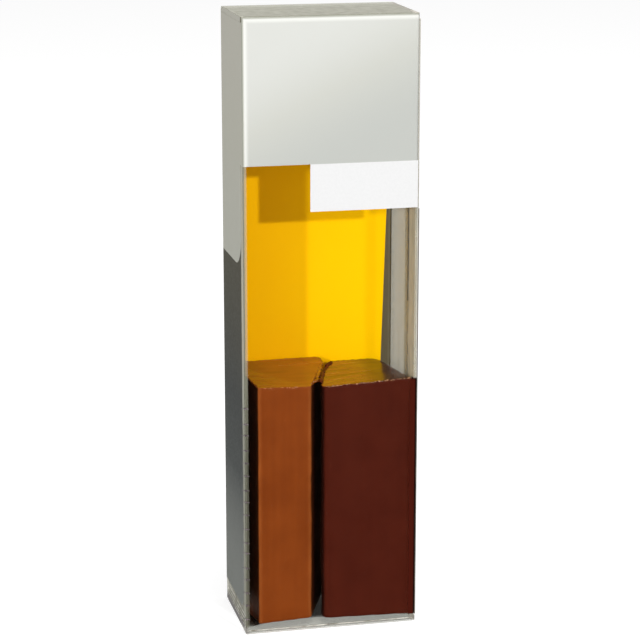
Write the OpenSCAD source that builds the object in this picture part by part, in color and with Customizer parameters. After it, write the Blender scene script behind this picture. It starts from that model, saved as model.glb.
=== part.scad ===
// Clear folding box that holds two sticks of furniture repair wax and a plastic spatula.
// The box stands on its bottom closure: +Z is up, the window faces -Y and the printed side is at -X.
// The origin is the middle of the footprint. Lengths are millimetres, angles are degrees.

/* [Box] */
// Outside width of the box
box_w = 34; // [31:0.5:48]
// Outside depth of the box
box_d = 21; // [20:0.5:34]
// Outside height of the box; a spatula too long for it makes the box taller
box_h = 120; // [108:1:160]
// Thickness of the clear sheet
sheet = 0.3; // [0.2:0.05:0.4]
// Outside radius of the upright folds
fold_r = 0.4; // [0.35:0.05:0.6]

/* [Glue seam] */
// Width of the glue flap inside the right panel
glue_flap_w = 7.5; // [5:0.5:10]
// How far the glue flap's ends taper in height
glue_flap_taper = 3; // [1:0.5:6]
// How far the glue flap stops short of the top and bottom of the box
glue_flap_end = 3; // [2:0.5:8]
// Thickness of the adhesive
glue_t = 0.05; // [0.03:0.01:0.1]
// Bare border of the glue flap around the adhesive
glue_border = 1; // [0.5:0.25:2]

/* [Closures] */
// Gap between a panel's cut edge and the crease it hangs on
crease_gap = 0.1; // [0.06:0.02:0.2]
// Radius of the rounded nose along a crease
crease_r = 0.1; // [0.06:0.01:0.15]
// Gap at each side of a lid
lid_side_gap = 0.1; // [0.05:0.05:0.5]
// Room between a tongue's crease and the edge of its lid, for the fold
fold_room = 0.4; // [0.4:0.05:0.8]
// Length of a tuck tongue
tongue_l = 8; // [6:0.5:9]
// Lean of a tongue towards the middle of the box
tongue_lean = 5; // [4:0.5:8]
// Gap between a tongue's root and the panel it tucks behind
tongue_clear = 0.15; // [0.1:0.05:0.4]
// Gap at each side of a tongue
tongue_side_gap = 1; // [0.6:0.1:3]
// Radius of a tongue's free corners
tongue_r = 3; // [1:0.5:5]
// Gap between a lid and its dust flaps
flap_gap = 0.35; // [0.2:0.05:0.6]
// Length of a dust flap
flap_l = 13; // [8:0.5:14]
// Gap between a dust flap's root and the tongue
flap_tongue_gap = 0.6; // [0.4:0.1:2]
// Gap between a dust flap's root and the panel that carries the lid
flap_hinge_gap = 1.3; // [1:0.1:3]
// Taper of a dust flap on the tongue's side
flap_tongue_taper = 12; // [5:1:15]
// Taper of a dust flap on the lid hinge's side
flap_hinge_taper = 25; // [20:1:30]
// Radius of a dust flap's free corners
flap_r = 1.5; // [0.5:0.25:3]

/* [Print] */
// Thickness of the ink
ink = 0.05; // [0.02:0.01:0.1]
// Height of the white field at the top of the front
white_field_h = 27.6; // [15:0.2:40]
// Height of the top of the dark field above the floor
dark_field_top = 72.8; // [50:0.2:85]
// Height of the bottom of the dark field above the floor
dark_field_bottom = 4.4; // [3:0.2:10]
// Radius of the curve where the dark field rises to the front
dark_field_rise = 5.4; // [2:0.2:8]
// Radius of the dark field's lower front corner
dark_field_corner = 3; // [1:0.5:6]
// Clear border of the left panel along the front fold
side_border = 2.3; // [1:0.1:5]
// Clear border of the back panel's print at each side
back_border = 0.2; // [0.1:0.1:4]

/* [Colour label] */
// Width of the label
label_w = 20.8; // [12:0.2:28]
// Height of the label
label_h = 9; // [5:0.2:14]
// Thickness of the label
label_t = 0.06; // [0.04:0.01:0.1]

/* [Wax sticks] */
// Height of the light stick at its front
light_h = 47.2; // [30:0.2:60]
// How much higher the light stick's cut top is at the back
light_top_rise = 1.7; // [0:0.1:3]
// Width of the light stick's front face
light_front_w = 10.4; // [6:0.2:12]
// Distance of the light stick's front face from the left panel
light_front_inset = 2.6; // [0.5:0.1:4]
// Draft of the light stick's side next to the dark stick
light_draft = 20; // [5:1:20]
// Height of the dark stick at its front
dark_h = 47.4; // [30:0.2:60]
// How much higher the dark stick's cut top is at the back
dark_top_rise = 0.9; // [0:0.1:3]
// Draft of the dark stick's side next to the light stick
dark_draft = 16; // [5:1:20]
// Draft of the dark stick's side next to the box
dark_wall_draft = 11; // [0:1:14]
// Gap between the two sticks at the front
stick_gap = 2; // [1.5:0.1:5]
// Gap between the sticks and the front panel
stick_front_gap = 1.9; // [1:0.1:3]
// Gap between the sticks and the side of the box
stick_wall_gap = 0.2; // [0.15:0.05:1]
// Gap between the sticks and the spatula
stick_back_gap = 0.3; // [0.2:0.05:1]
// Gap between what stands in the box and the dust flaps below it
floor_gap = 0.3; // [0.15:0.05:0.5]
// Radius of a stick's moulded edges
stick_edge_r = 0.8; // [0.4:0.1:1.2]
// Radius of the dark stick's front edge next to the light stick
dark_front_r = 2; // [0.5:0.1:2.5]
// Radius of the sticks' rounded back edges
stick_back_r = 2; // [1:0.1:3]

/* [Spatula] */
// Length of the spatula
spatula_l = 102; // [60:1:104]
// Thickness of the spatula
spatula_t = 1.4; // [1:0.1:2]
// Taper of each long side
spatula_taper = 1.9; // [0:0.1:3]
// Gap at each side of the spatula's wide end
spatula_side_gap = 0.6; // [0.4:0.1:3]
// Gap between the spatula and the back panel
spatula_back_gap = 1.4; // [1.3:0.1:2]
// Length of the bevel at the working edge
spatula_bevel = 8; // [3:0.5:15]
// Thickness of the working edge
spatula_edge = 0.5; // [0.3:0.1:0.9]
// Radius of the working edge's corners
spatula_wide_r = 2; // [0.5:0.5:5]
// Radius of the handle end's corners
spatula_narrow_r = 4; // [1:0.5:8]

/* [Hidden] */
$fn = 64;
half_sheet = sheet / 2;
// Faces of the room inside the box
inner_left = -box_w / 2 + sheet;
inner_front = -box_d / 2 + sheet;
inner_back = box_d / 2 - sheet;
seam_face = box_w / 2 - sheet - glue_t;
seam_inner = seam_face - sheet;
// Middles of the two front folds: the right one turns into the glue flap
fold_y = -box_d / 2 + fold_r;
left_fold_x = -box_w / 2 + fold_r;
right_fold_x = seam_face - fold_r;
// Height of a closure: its lid, the dust flaps and the gap between them
closure_t = sheet + flap_gap + sheet;
// How far panels stop short of the box's ends, to leave room for their creases
lid_crease_end = sheet + crease_gap;
flap_crease_end = closure_t + crease_gap;
// Floor that the contents stand on, and the height of the box as built, which leaves a long
// spatula the same gap at the top as at the floor
floor_z = closure_t + floor_gap;
case_h = max(box_h, spatula_l + 2 * floor_z);
// Creases of the top closure
lid_axis_y = box_d / 2 - half_sheet;
lid_axis_z = case_h - half_sheet;
lid_w = box_w - 2 * lid_side_gap;
lid_crease_l = box_w - 2 * fold_r;
tongue_axis_y = inner_front + tongue_clear + half_sheet;
lid_front_y = tongue_axis_y + fold_room;
tongue_w = 2 * (seam_inner - tongue_side_gap);
flap_axis_x = box_w / 2 - half_sheet;
flap_axis_z = case_h - sheet - flap_gap - half_sheet;
flap_front_y = tongue_axis_y + half_sheet + flap_tongue_gap;
flap_back_y = inner_back - flap_hinge_gap;
// Print fields and label
white_field_z = case_h - white_field_h;
side_print_front = -box_d / 2 + side_border;
side_print_back = box_d / 2 - fold_r;
back_print_half = box_w / 2 - fold_r - back_border;
label_right = seam_face;
// Things that stand in the box
spatula_back_y = inner_back - spatula_back_gap;
spatula_front_y = spatula_back_y - spatula_t;
stick_front_y = inner_front + stick_front_gap;
stick_back_y = spatula_front_y - stick_back_gap;
stick_d = stick_back_y - stick_front_y;
light_front_left = inner_left + light_front_inset;
light_front_right = light_front_left + light_front_w;
dark_front_left = light_front_right + stick_gap;
dark_front_right = seam_inner - stick_wall_gap;
spatula_wide_half = box_w / 2 - sheet - spatula_side_gap;
spatula_narrow_half = spatula_wide_half - spatula_l * tan(spatula_taper);

// Colours
clear_sheet = [0.84, 0.86, 0.85, 0.35];
clear_glue = [0.90, 0.90, 0.84, 0.5];
white_ink = [0.93, 0.93, 0.91];
pale_ink = [0.69, 0.68, 0.64];
dark_ink = [0.22, 0.23, 0.21];
label_white = [0.96, 0.96, 0.96];
light_wax = [0.55, 0.27, 0.10];
dark_wax = [0.30, 0.11, 0.08];
spatula_yellow = [0.98, 0.80, 0.03];

// Direction from one point to another
function toward(p, q) = (q - p) / norm(q - p);

// A convex outline with a radius at each corner; a radius of 0 leaves the corner sharp
module rounded_outline(points, radii) {
    n = len(points);
    to_last = [for (i = [0 : n - 1]) toward(points[i], points[(i + n - 1) % n])];
    to_next = [for (i = [0 : n - 1]) toward(points[i], points[(i + 1) % n])];
    half_angle = [for (i = [0 : n - 1]) acos(to_last[i] * to_next[i]) / 2];
    cut = [for (i = [0 : n - 1]) radii[i] / tan(half_angle[i])];
    polygon([
        for (i = [0 : n - 1])
            each radii[i] == 0
                ? [points[i]]
                : [points[i] + to_last[i] * cut[i], points[i] + to_next[i] * cut[i]]
    ]);
    for (i = [0 : n - 1])
        if (radii[i] > 0) {
            middle = toward([0, 0], to_last[i] + to_next[i]);
            translate(points[i] + middle * radii[i] / sin(half_angle[i])) circle(r = radii[i]);
        }
}

// A quarter of a fold between two depths below the outer face; turn 0 is the corner at -X, -Y
module fold_quarter(turn, from, to) {
    rotate(turn)
        intersection() {
            difference() {
                circle(r = fold_r - from);
                circle(r = fold_r - to);
            }
            translate([-fold_r, -fold_r]) square(fold_r);
        }
}

// Plan of the front panel and its two folds, between two depths below the outer face
module front_plan(from, to) {
    translate([left_fold_x, -box_d / 2 + from]) square([right_fold_x - left_fold_x, to - from]);
    translate([left_fold_x, fold_y]) fold_quarter(0, from, to);
    translate([right_fold_x, fold_y]) fold_quarter(90, from, to);
}

// Plan of the back panel and its two folds
module back_plan() {
    translate([left_fold_x, inner_back]) square([box_w - 2 * fold_r, sheet]);
    translate([left_fold_x, -fold_y]) fold_quarter(270, 0, sheet);
    translate([-left_fold_x, -fold_y]) fold_quarter(180, 0, sheet);
}

// Draws its children from z_low to z_high
module upright(z_low, z_high) {
    translate([0, 0, z_low]) linear_extrude(z_high - z_low) children();
}

// Stands a side outline, drawn in Y and Z, so that its thickness runs along +X from x
module on_side(x, thickness) {
    translate([x, 0, 0]) rotate([90, 0, 90]) linear_extrude(thickness) children();
}

// Stands a front outline, drawn in X and Z, so that its thickness runs along -Y from y
module on_front(y, thickness) {
    translate([0, y, 0]) rotate([90, 0, 0]) linear_extrude(thickness) children();
}

// Turns a piece of the top closure into the same piece of the bottom closure
module at_bottom() {
    translate([0, 0, case_h]) rotate([180, 0, 0]) children();
}

// A rectangle between two corners
module field(low, high) {
    translate(low) square(high - low);
}

// Outline of the left panel's dark print, in Y and Z: it rises in a curve to the front
module left_dark_outline() {
    rounded_outline(
        [
            [side_print_front, dark_field_bottom], [side_print_back, dark_field_bottom],
            [side_print_back, dark_field_top], [side_print_front, dark_field_top]
        ],
        [dark_field_corner, 0, 0, 0]
    );
    difference() {
        field(
            [side_print_front, dark_field_top],
            [side_print_front + dark_field_rise, dark_field_top + dark_field_rise]
        );
        translate([side_print_front + dark_field_rise, dark_field_top + dark_field_rise])
            circle(r = dark_field_rise);
    }
}

// Outline of the left panel's pale print: all that lies above the dark one
module left_pale_outline() {
    difference() {
        union() {
            field([side_print_front, dark_field_top], [side_print_back, case_h - flap_crease_end]);
            field([fold_y, white_field_z], [side_print_back, case_h - flap_crease_end]);
        }
        left_dark_outline();
    }
}

// Outlines of the back panel's prints, in X and Z
module back_dark_outline() {
    field([-back_print_half, dark_field_bottom], [back_print_half, dark_field_top]);
}

module back_pale_outline() {
    field([-back_print_half, dark_field_top], [back_print_half, case_h - lid_crease_end]);
}

module front_panel() {
    color(clear_sheet)
        difference() {
            upright(lid_crease_end, case_h) front_plan(0, sheet);
            upright(white_field_z, case_h) front_plan(0, ink);
        }
}

module left_panel() {
    color(clear_sheet)
        difference() {
            on_side(-box_w / 2, sheet)
                field([fold_y, flap_crease_end], [-fold_y, case_h - flap_crease_end]);
            on_side(-box_w / 2, ink) left_pale_outline();
            on_side(-box_w / 2, ink) left_dark_outline();
        }
}

module back_panel() {
    color(clear_sheet)
        difference() {
            upright(0, case_h - lid_crease_end) back_plan();
            on_front(box_d / 2, ink) back_pale_outline();
            on_front(box_d / 2, ink) back_dark_outline();
        }
}

module right_panel() {
    color(clear_sheet)
        on_side(box_w / 2 - sheet, sheet)
            field([fold_y, flap_crease_end], [-fold_y, case_h - flap_crease_end]);
}

module glue_flap() {
    low = glue_flap_end;
    high = case_h - glue_flap_end;
    free_edge = fold_y + glue_flap_w;
    color(clear_sheet)
        on_side(seam_inner, sheet)
            polygon([
                [fold_y, low], [free_edge, low + glue_flap_taper],
                [free_edge, high - glue_flap_taper], [fold_y, high]
            ]);
}

module glue_line() {
    inset = glue_flap_end + glue_flap_taper + glue_border;
    color(clear_glue)
        on_side(seam_face, glue_t)
            field(
                [fold_y + glue_border, inset],
                [fold_y + glue_flap_w - glue_border, case_h - inset]
            );
}

module white_field() {
    color(white_ink) upright(white_field_z, case_h) front_plan(0, ink);
}

module left_pale_field() {
    color(pale_ink) on_side(-box_w / 2, ink) left_pale_outline();
}

module left_dark_field() {
    color(dark_ink) on_side(-box_w / 2, ink) left_dark_outline();
}

module back_pale_field() {
    color(pale_ink) on_front(box_d / 2, ink) back_pale_outline();
}

module back_dark_field() {
    color(dark_ink) on_front(box_d / 2, ink) back_dark_outline();
}

module colour_label() {
    color(label_white)
        on_front(-box_d / 2, label_t)
            field([label_right - label_w, white_field_z - label_h], [label_right, white_field_z]);
}

// Rounded nose along a crease that runs along X
module crease_nose(length) {
    rotate([0, 90, 0]) cylinder(r = crease_r, h = length, center = true);
}

module lid() {
    translate([-lid_w / 2, lid_front_y, case_h - sheet])
        cube([lid_w, lid_axis_y - lid_front_y, sheet]);
    translate([0, lid_axis_y, lid_axis_z]) crease_nose(lid_crease_l);
}

module tongue() {
    translate([0, tongue_axis_y, lid_axis_z])
        rotate([tongue_lean, 0, 0]) {
            on_front(half_sheet, sheet)
                rounded_outline(
                    [
                        [-tongue_w / 2, 0], [-tongue_w / 2, -tongue_l],
                        [tongue_w / 2, -tongue_l], [tongue_w / 2, 0]
                    ],
                    [0, tongue_r, tongue_r, 0]
                );
            crease_nose(tongue_w);
        }
}

// The dust flap on the left, or on the right when side is 1
module dust_flap(side) {
    tip_front = flap_front_y + flap_l * tan(flap_tongue_taper);
    tip_back = flap_back_y - flap_l * tan(flap_hinge_taper);
    translate([side * flap_axis_x, 0, flap_axis_z]) {
        upright(-half_sheet, half_sheet)
            rounded_outline(
                [
                    [0, flap_front_y], [-side * flap_l, tip_front],
                    [-side * flap_l, tip_back], [0, flap_back_y]
                ],
                [0, flap_r, flap_r, 0]
            );
        translate([0, (flap_front_y + flap_back_y) / 2, 0])
            rotate([0, 0, 90])
            crease_nose(flap_back_y - flap_front_y);
    }
}

module top_lid() {
    color(clear_sheet) lid();
}

module top_tongue() {
    color(clear_sheet) tongue();
}

module top_left_flap() {
    color(clear_sheet) dust_flap(-1);
}

module top_right_flap() {
    color(clear_sheet) dust_flap(1);
}

module bottom_lid() {
    color(clear_sheet) at_bottom() lid();
}

module bottom_tongue() {
    color(clear_sheet) at_bottom() tongue();
}

module bottom_left_flap() {
    color(clear_sheet) at_bottom() dust_flap(-1);
}

module bottom_right_flap() {
    color(clear_sheet) at_bottom() dust_flap(1);
}

// A cast bar of four sides: front left, front right, back right and back left.
// Its cut top rises to the back.
module wax_bar(front_x, back_x, radii, height, top_rise) {
    top_front = floor_z + height;
    top_back = top_front + top_rise;
    intersection() {
        upright(floor_z, top_back)
            rounded_outline(
                [
                    [front_x[0], stick_front_y], [front_x[1], stick_front_y],
                    [back_x[1], stick_back_y], [back_x[0], stick_back_y]
                ],
                radii
            );
        on_side(-box_w / 2, box_w)
            polygon([
                [stick_front_y, floor_z], [stick_back_y, floor_z],
                [stick_back_y, top_back], [stick_front_y, top_front]
            ]);
    }
}

module light_wax_stick() {
    color(light_wax)
        wax_bar(
            [light_front_left, light_front_right],
            [inner_left + stick_wall_gap, light_front_right + stick_d * tan(light_draft)],
            [stick_edge_r, stick_edge_r, stick_back_r, stick_edge_r],
            light_h,
            light_top_rise
        );
}

module dark_wax_stick() {
    color(dark_wax)
        wax_bar(
            [dark_front_left, dark_front_right],
            [
                dark_front_left + stick_d * tan(dark_draft),
                dark_front_right - stick_d * tan(dark_wall_draft)
            ],
            [dark_front_r, stick_edge_r, stick_back_r, stick_back_r],
            dark_h,
            dark_top_rise
        );
}

// The spatula stands on its handle end; its front is bevelled at the working edge on top
module spatula() {
    top = floor_z + spatula_l;
    color(spatula_yellow)
        intersection() {
            on_front(spatula_back_y, spatula_t)
                rounded_outline(
                    [
                        [-spatula_narrow_half, floor_z], [spatula_narrow_half, floor_z],
                        [spatula_wide_half, top], [-spatula_wide_half, top]
                    ],
                    [spatula_narrow_r, spatula_narrow_r, spatula_wide_r, spatula_wide_r]
                );
            on_side(-box_w / 2, box_w)
                polygon([
                    [spatula_front_y, floor_z], [spatula_back_y, floor_z],
                    [spatula_back_y, top], [spatula_back_y - spatula_edge, top],
                    [spatula_front_y, top - spatula_bevel]
                ]);
        }
}

front_panel();
left_panel();
back_panel();
right_panel();
glue_flap();
glue_line();
white_field();
left_pale_field();
left_dark_field();
back_pale_field();
back_dark_field();
colour_label();
top_lid();
top_tongue();
top_left_flap();
top_right_flap();
bottom_lid();
bottom_tongue();
bottom_left_flap();
bottom_right_flap();
light_wax_stick();
dark_wax_stick();
spatula();
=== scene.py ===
# %% [markdown]
# # Two wax sticks in a clear folding box
# The object is a small sales pack: a clear plastic folding box with two sticks of repair wax and
# a yellow spatula in it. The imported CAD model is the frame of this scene. Most of its sheets are
# already right, so they only get a better finish. The wax and the spatula were cast, cut and
# moulded, so they are modelled again with soft edges, knife marks and crumbs.

# %% Load the frame
import math
import random
from functools import partial

import bmesh
import bpy
from mathutils import Matrix, Vector, noise


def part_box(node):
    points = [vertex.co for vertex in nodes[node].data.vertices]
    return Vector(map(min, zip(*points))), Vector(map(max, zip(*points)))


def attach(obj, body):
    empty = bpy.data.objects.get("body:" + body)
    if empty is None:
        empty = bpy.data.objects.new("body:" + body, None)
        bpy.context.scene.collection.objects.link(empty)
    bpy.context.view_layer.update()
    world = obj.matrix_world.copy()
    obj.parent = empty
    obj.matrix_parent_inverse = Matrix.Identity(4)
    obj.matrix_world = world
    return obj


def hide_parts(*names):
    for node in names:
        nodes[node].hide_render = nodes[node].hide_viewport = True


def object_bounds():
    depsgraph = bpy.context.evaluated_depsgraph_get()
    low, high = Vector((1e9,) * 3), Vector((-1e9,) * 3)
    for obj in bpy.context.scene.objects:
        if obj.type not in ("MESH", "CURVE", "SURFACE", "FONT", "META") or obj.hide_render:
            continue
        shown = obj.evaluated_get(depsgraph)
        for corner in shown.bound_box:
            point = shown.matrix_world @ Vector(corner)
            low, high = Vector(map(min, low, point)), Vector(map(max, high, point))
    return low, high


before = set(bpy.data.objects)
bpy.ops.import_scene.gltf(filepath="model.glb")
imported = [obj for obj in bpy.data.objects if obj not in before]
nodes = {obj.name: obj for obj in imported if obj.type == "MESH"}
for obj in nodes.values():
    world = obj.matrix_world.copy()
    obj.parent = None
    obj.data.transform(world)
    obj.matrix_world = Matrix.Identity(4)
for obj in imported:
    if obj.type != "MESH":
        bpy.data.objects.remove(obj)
cad_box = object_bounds()
print("CAD nodes:", len(nodes), "box:", [tuple(round(v, 4) for v in c) for c in cad_box])

# %% [markdown]
# ## Units and colours
# Everything in the scene is in metres, but a pack like this is thought of in millimetres, so one
# value turns one into the other. Colours are written as the hex codes a picture editor shows, and
# Cycles wants linear light, so one function converts them.

# %% Units and colours
MM = 0.001


def linear(code):
    """Turns an sRGB hex code into linear red, green, blue and alpha."""
    channels = [int(code[i:i + 2], 16) / 255 for i in (1, 3, 5)]
    return [c / 12.92 if c <= 0.04045 else ((c + 0.055) / 1.055) ** 2.4 for c in channels] + [1.0]


print("white is", linear("#FFFFFF"))

# %% [markdown]
# ## Shader nodes
# A material is a small network of nodes. One function adds any of them, so that a material reads
# from top to bottom like a recipe. Two settings come up all the time: a range that starts and ends
# softly, and a mix of colours instead of numbers. Most patterns here are noise. A Mapping node
# stretches it so that its patches have a real size in millimetres.

# %% Shader nodes
SMOOTH = {"interpolation_type": "SMOOTHSTEP"}
COLOURS = {"data_type": "RGBA"}


def add_node(tree, kind, *values, stops=(), **named):
    """Adds a node, with values for its inputs in the order in which the editor shows them.

    A name with a capital letter is an input too, and any other name is a setting. A hex code
    becomes a colour, and a node or one of its outputs becomes a link.
    """
    node = tree.nodes.new("ShaderNode" + kind)
    for name in filter(str.islower, named):
        setattr(node, name, named[name])
    given = list(zip([socket for socket in node.inputs if socket.enabled], values))
    given += [(node.inputs[name.replace("_", " ")], named[name]) for name in named if not name.islower()]
    for socket, value in given:
        if isinstance(value, bpy.types.Node):
            value = next(output for output in value.outputs if output.enabled)
        if isinstance(value, bpy.types.NodeSocket):
            tree.links.new(value, socket)
        else:
            socket.default_value = linear(value) if isinstance(value, str) else value
    for position, code in stops[1:-1]:
        node.color_ramp.elements.new(position)
    for index, (position, code) in enumerate(stops):
        node.color_ramp.elements[index].position = position
        node.color_ramp.elements[index].color = linear(code)
    return node


def new_material(name):
    """An empty material, a function that adds nodes to it, and the place of each point."""
    made = bpy.data.materials.new(name)
    made.use_nodes = True
    made.node_tree.nodes.clear()
    add = partial(add_node, made.node_tree)
    return made, add, add("TexCoord").outputs["Object"]


def patches(*sizes):
    """How many patches of these sizes in millimetres fit into a metre along X, Y and Z."""
    return [1 / (size * MM) for size in sizes]


def finish_node(name, material):
    """Gives a CAD node its finish."""
    nodes[name].data.materials.clear()
    nodes[name].data.materials.append(material)


print("shared settings:", SMOOTH, COLOURS)

# %% [markdown]
# ## Camera
# The photograph was taken with a long lens from the front, a little to the left and above. The
# camera's place and lens were fitted to the corners of the box. The lens is written as a focal
# length in picture widths, because that doesn't depend on a sensor.

# %% Camera
EYE = Vector((-93.55, -413.32, 164.83)) * MM
YAW = math.radians(12.763)
PITCH = math.radians(13.924)
FOCAL_IN_PICTURE_WIDTHS = 2242.6 / 640

camera_data = bpy.data.cameras.new("camera")
camera_data.sensor_width = 36
camera_data.lens = FOCAL_IN_PICTURE_WIDTHS * camera_data.sensor_width
camera_data.clip_start = 0.01
camera = bpy.data.objects.new("camera", camera_data)
camera.location = EYE
camera.rotation_euler = (math.pi / 2 - PITCH, 0, -YAW)
bpy.context.scene.collection.objects.link(camera)
bpy.context.scene.camera = camera
print("lens:", round(camera_data.lens, 1), "mm")

# %% [markdown]
# ## Clear sheet: folds
# The box is 0.3 mm PET, extruded into sheet, die-cut and creased. Along its edges and creases the
# sheet goes whitish, most of all at the left front fold. The mesh has no lines there, so the
# material works them out: a point's distances to the walls of the box come from its place, and a
# point is at a fold where two of them are small.

# %% Distances to the walls
BOX_LOW, BOX_HIGH = (Vector(corner) for corner in cad_box)
BOX_MIDDLE = (BOX_LOW + BOX_HIGH) / 2
BOX_HALF = (BOX_HIGH - BOX_LOW) / 2
NEAR_MIDDLE = 4 * MM

clear_pet, add, where = new_material("extruded_clear_pet")
x, y, height = add("SeparateXYZ", where).outputs
from_middle = add("VectorMath", where, BOX_MIDDLE, operation="SUBTRACT")
outward = add("VectorMath", from_middle, operation="ABSOLUTE")
to_walls = add("VectorMath", BOX_HALF, outward, operation="SUBTRACT")
to_side, to_face, to_end = add("SeparateXYZ", to_walls).outputs
on_left = add("MapRange", x, NEAR_MIDDLE, 0.0, **SMOOTH)
in_front = add("MapRange", y, NEAR_MIDDLE, 0.0, **SMOOTH)
print("box:", [round(v / MM, 2) for v in BOX_HIGH - BOX_LOW], "mm")

# %% Whitened edges and folds
SOFT = 0.15 * MM
EDGE_WIDTH = 0.55 * MM
EDGE_HAZE = 0.3
EDGE_SHARE_AT_RIGHT = 0.15
EDGE_FADES = (10 * MM, 15 * MM)
FOLD_WIDTH_ON_FACES = 0.65 * MM
FOLD_WIDTH_ON_SIDES = 2.3 * MM
FOLD_HAZE_LOW = 0.14
FOLD_HAZE_HIGH = 0.4
FOLD_HAZE_RISES = (30 * MM, 70 * MM)

nearer = add("Math", to_side, to_face, operation="MINIMUM")
farther = add("Math", to_side, to_face, operation="MAXIMUM")
other = add("Math", farther, to_end, operation="MINIMUM")
second_nearest = add("Math", nearer, other, operation="MAXIMUM")
edge = add("MapRange", second_nearest, EDGE_WIDTH, 0.0, 0.0, EDGE_HAZE, **SMOOTH)
edge_share = add("MapRange", x, *EDGE_FADES, 1.0, EDGE_SHARE_AT_RIGHT, **SMOOTH)
white_edge = add("Math", edge, edge_share, operation="MULTIPLY")

at_side = add("MapRange", to_side, FOLD_WIDTH_ON_FACES + SOFT, FOLD_WIDTH_ON_FACES - SOFT, **SMOOTH)
at_face = add("MapRange", to_face, FOLD_WIDTH_ON_SIDES + SOFT, FOLD_WIDTH_ON_SIDES - SOFT, **SMOOTH)
fold = add("Math", at_side, at_face, operation="MULTIPLY")
fold_rise = add("MapRange", height, *FOLD_HAZE_RISES, FOLD_HAZE_LOW, FOLD_HAZE_HIGH, **SMOOTH)
fold_haze = add("Math", on_left, fold_rise, operation="MULTIPLY")
white_fold = add("Math", fold, fold_haze, operation="MULTIPLY")
whitest = add("Math", white_edge, white_fold, operation="MAXIMUM")
whitening = add("Math", in_front, whitest, operation="MULTIPLY")
print("fold haze:", FOLD_HAZE_LOW, "to", FOLD_HAZE_HIGH)

# %% [markdown]
# ## Clear sheet: haze
# PET is clear from straight on. Seen along its surface it turns grey, because the look then goes
# through far more plastic, past fine lines that the extruder left. Layer Weight tells how far the
# view is turned along the sheet, and a high power of it keeps the straight view clear.

# %% Haze along the sheet
HAZE_STRAIGHT_ON = 0.001
HAZE_ALONG = 1.2
STREAKS_AT_ENDS = 0.1
STREAKS = 0.2
STREAKS_RISE = (1 * MM, 3 * MM)

lines = add("TexNoise", add("Mapping", where, Scale=patches(2, 2, 60)), Scale=1.0, Detail=3.0)
facing = add("LayerWeight", Blend=0.5).outputs["Facing"]
along = add("Math", facing, 2.0, operation="POWER")
far_along = add("Math", facing, 5.0, operation="POWER")
thick = add("Math", far_along, HAZE_ALONG, HAZE_STRAIGHT_ON, operation="MULTIPLY_ADD")
contrast = add("MapRange", to_end, *STREAKS_RISE, STREAKS_AT_ENDS, STREAKS, **SMOOTH)
line_height = add("MapRange", lines, 0.25, 0.75, -1.0, 1.0, **SMOOTH)
streaks = add("Math", line_height, contrast, 1.0, operation="MULTIPLY_ADD")
streaky = add("Math", thick, streaks, operation="MULTIPLY")
print("haze from", HAZE_STRAIGHT_ON, "to", HAZE_ALONG)

# %% [markdown]
# ## Clear sheet: dust, glue and painted dark places
# At the floor the sheet carries dust, and its see-through colour is darkened there as painted shade.
# Under the wax it carries a dark brown painted shadow. At the seam on the right the glue shows
# through as a bubbly haze, and beside the dark stick the sheet is painted dark brown, a painted
# reflection of the stick seen through the fold.
# Each of these is a mask that is 1 inside a box of coordinates and falls to 0 softly at its limits.

# %% Dust, painted shade and painted shadow
DUST_AND_SHADE_BELOW = 1.4 * MM
LID_TOP = 0.3 * MM
FLAP_UNDERSIDE = 0.6 * MM
SHADOW_FRONT_ON_LID = -4.4 * MM
SHADOW_FRONT_ON_FLAPS = -7.9 * MM

# Near the floor: dust, and a darker see-through colour that is painted shade.
dust_and_shade = add("MapRange", height, DUST_AND_SHADE_BELOW + SOFT, DUST_AND_SHADE_BELOW - SOFT, **SMOOTH)
# Under the wax, on the bottom lid and flaps: a dark brown painted shadow.
shadow_front = add(
    "MapRange", height, LID_TOP, FLAP_UNDERSIDE, SHADOW_FRONT_ON_LID, SHADOW_FRONT_ON_FLAPS, **SMOOTH
)
behind_front = add("Math", y, shadow_front, operation="SUBTRACT")
under_wax = add("MapRange", behind_front, -SOFT, SOFT, **SMOOTH)
painted_shadow = add("Math", dust_and_shade, under_wax, operation="MULTIPLY")
print("dust below", round(DUST_AND_SHADE_BELOW / MM, 1), "mm")

# %% Glue seen through the sheet
GLUED_FROM = 16.2 * MM
GLUED_TO = -5.4 * MM
GLUED_HAZE = 0.4
BEHIND_WINDOW = (0.3 * MM, 0.5 * MM)

bubble_noise = add("TexNoise", add("Mapping", where, Scale=patches(1.5, 1.5, 5)), Scale=1.0, Detail=3.0)
bubbles = add("MapRange", bubble_noise, 0.3, 0.7, 0.6, 1.0, **SMOOTH)
behind_window = add("MapRange", to_face, *BEHIND_WINDOW, **SMOOTH)
bubbly = add("Math", bubbles, behind_window, operation="MULTIPLY")
at_seam = add("MapRange", x, GLUED_FROM - SOFT, GLUED_FROM + SOFT, **SMOOTH)
glue_reach = add("MapRange", y, GLUED_TO + SOFT, GLUED_TO - SOFT, 0.0, GLUED_HAZE, **SMOOTH)
glue_strip = add("Math", at_seam, glue_reach, operation="MULTIPLY")
glued = add("Math", bubbly, glue_strip, operation="MULTIPLY")
print("glue haze:", GLUED_HAZE)

# %% Painted reflection of the dark stick in the sheet
PAINTED_REFLECTION_FROM = 15.5 * MM
PAINTED_REFLECTION_TO = -8.8 * MM
PAINTED_REFLECTION_ABOVE = 1.5 * MM
PAINTED_REFLECTION_BELOW = 49.6 * MM

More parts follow.
